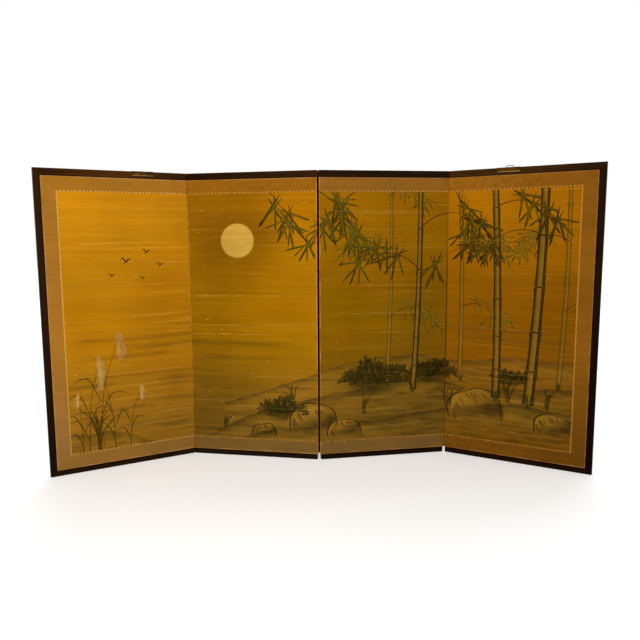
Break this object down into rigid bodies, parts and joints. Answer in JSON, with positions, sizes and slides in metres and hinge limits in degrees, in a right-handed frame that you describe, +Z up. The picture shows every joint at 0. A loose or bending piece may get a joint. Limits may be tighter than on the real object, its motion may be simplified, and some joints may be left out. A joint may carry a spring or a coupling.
{
  "type": "byobu folding screen",
  "caption": "Free-standing folding screen of lattice-core panels with silk pictures, brocade borders, lacquered rails, cloth hinges and two brass hangers with rings.",
  "frame": {"origin": "on the floor, under the middle of the bounding box of the screen in its standing zigzag", "axes": "+X along the screen to the right as seen from its painted front, which faces -Y; +Z up"},
  "size_m": [1.6344, 0.2358, 0.922],
  "materials": {
    "lacquer": "brown-black lacquer over wood, satin, edges slightly rubbed",
    "silk": "amber-gold slubbed silk, hand painted, darker towards the foot",
    "brocade": "tan-gold figured brocade",
    "edging": "pale gold woven strip, broken texture",
    "lining_paper": "layers of plain pasted paper",
    "back_paper": "dark printed backing paper, matt",
    "core_wood": "plain planed cedar",
    "hinge_cloth": "dark brown cotton cloth",
    "nail": "dulled iron, lacquered over",
    "hanger_brass": "aged sheet brass, dull",
    "ring_wire": "aged brass wire"
  },
  "bodies": {
    "panel_1": {"panel_1_frame_nails": "nail", "panel_1_core_frame": "core_wood", "panel_1_core_lattice": "core_wood", "panel_1_front_lining_paper": "lining_paper", "panel_1_back_paper": "back_paper", "panel_1_silk_picture": "silk", "panel_1_top_border": "brocade", "panel_1_bottom_border": "brocade", "panel_1_side_border": "brocade", "panel_1_edging_strips": "edging", "panel_1_top_rail": "lacquer", "panel_1_bottom_rail": "lacquer", "panel_1_outer_stile": "lacquer", "fold_a_left_hinge_cloth": "hinge_cloth"},
    "panel_2": {"panel_2_frame_nails": "nail", "panel_2_core_frame": "core_wood", "panel_2_core_lattice": "core_wood", "panel_2_front_lining_paper": "lining_paper", "panel_2_back_paper": "back_paper", "panel_2_silk_picture": "silk", "panel_2_top_border": "brocade", "panel_2_bottom_border": "brocade", "panel_2_edging_strips": "edging", "panel_2_top_rail": "lacquer", "panel_2_bottom_rail": "lacquer", "fold_a_right_hinge_cloth": "hinge_cloth", "fold_b_left_hinge_cloth": "hinge_cloth"},
    "panel_3": {"panel_3_frame_nails": "nail", "panel_3_core_frame": "core_wood", "panel_3_core_lattice": "core_wood", "panel_3_front_lining_paper": "lining_paper", "panel_3_back_paper": "back_paper", "panel_3_silk_picture": "silk", "panel_3_top_border": "brocade", "panel_3_bottom_border": "brocade", "panel_3_edging_strips": "edging", "panel_3_top_rail": "lacquer", "panel_3_bottom_rail": "lacquer", "fold_b_right_hinge_cloth": "hinge_cloth", "fold_c_left_hinge_cloth": "hinge_cloth"},
    "panel_4": {"panel_4_frame_nails": "nail", "panel_4_core_frame": "core_wood", "panel_4_core_lattice": "core_wood", "panel_4_front_lining_paper": "lining_paper", "panel_4_back_paper": "back_paper", "panel_4_silk_picture": "silk", "panel_4_top_border": "brocade", "panel_4_bottom_border": "brocade", "panel_4_side_border": "brocade", "panel_4_edging_strips": "edging", "panel_4_top_rail": "lacquer", "panel_4_bottom_rail": "lacquer", "panel_4_outer_stile": "lacquer", "fold_c_right_hinge_cloth": "hinge_cloth"},
    "left_hanger": {"panel_1_hanger": "hanger_brass"},
    "right_hanger": {"panel_4_hanger": "hanger_brass"},
    "left_ring": {"panel_1_hanging_ring": "ring_wire"},
    "right_ring": {"panel_4_hanging_ring": "ring_wire"}
  },
  "joints": [
    {"name": "fold_a", "type": "hinge", "parent": "panel_2", "child": "panel_1", "pos_m": [-0.41433, 0.09927, 0.457], "axis": [0, 0, 1], "range_deg": [-39, 141]},
    {"name": "fold_b", "type": "hinge", "parent": "panel_2", "child": "panel_3", "pos_m": [0, 0.04652, 0.457], "axis": [0, 0, 1], "range_deg": [-20, 160]},
    {"name": "fold_c", "type": "hinge", "parent": "panel_3", "child": "panel_4", "pos_m": [0.41433, 0.09927, 0.457], "axis": [0, 0, -1], "range_deg": [-39, 141]},
    {"name": "left_hanger_slide", "type": "slide", "parent": "panel_1", "child": "left_hanger", "axis": [0.8746, 0.4848, 0], "range_m": [-0.275, 0.098]},
    {"name": "right_hanger_slide", "type": "slide", "parent": "panel_4", "child": "right_hanger", "axis": [0.8746, -0.4848, 0], "range_m": [-0.142, 0.231]},
    {"name": "left_ring_swing", "type": "hinge", "parent": "left_hanger", "child": "left_ring", "pos_m": [-0.54457, 0.05143, 0.909], "axis": [0.8746, 0.4848, 0], "range_deg": [0, 180]},
    {"name": "right_ring_swing", "type": "hinge", "parent": "right_hanger", "child": "right_ring", "pos_m": [0.58305, 0.0301, 0.909], "axis": [0.8746, -0.4848, 0], "range_deg": [-180, 0]}
  ]
}
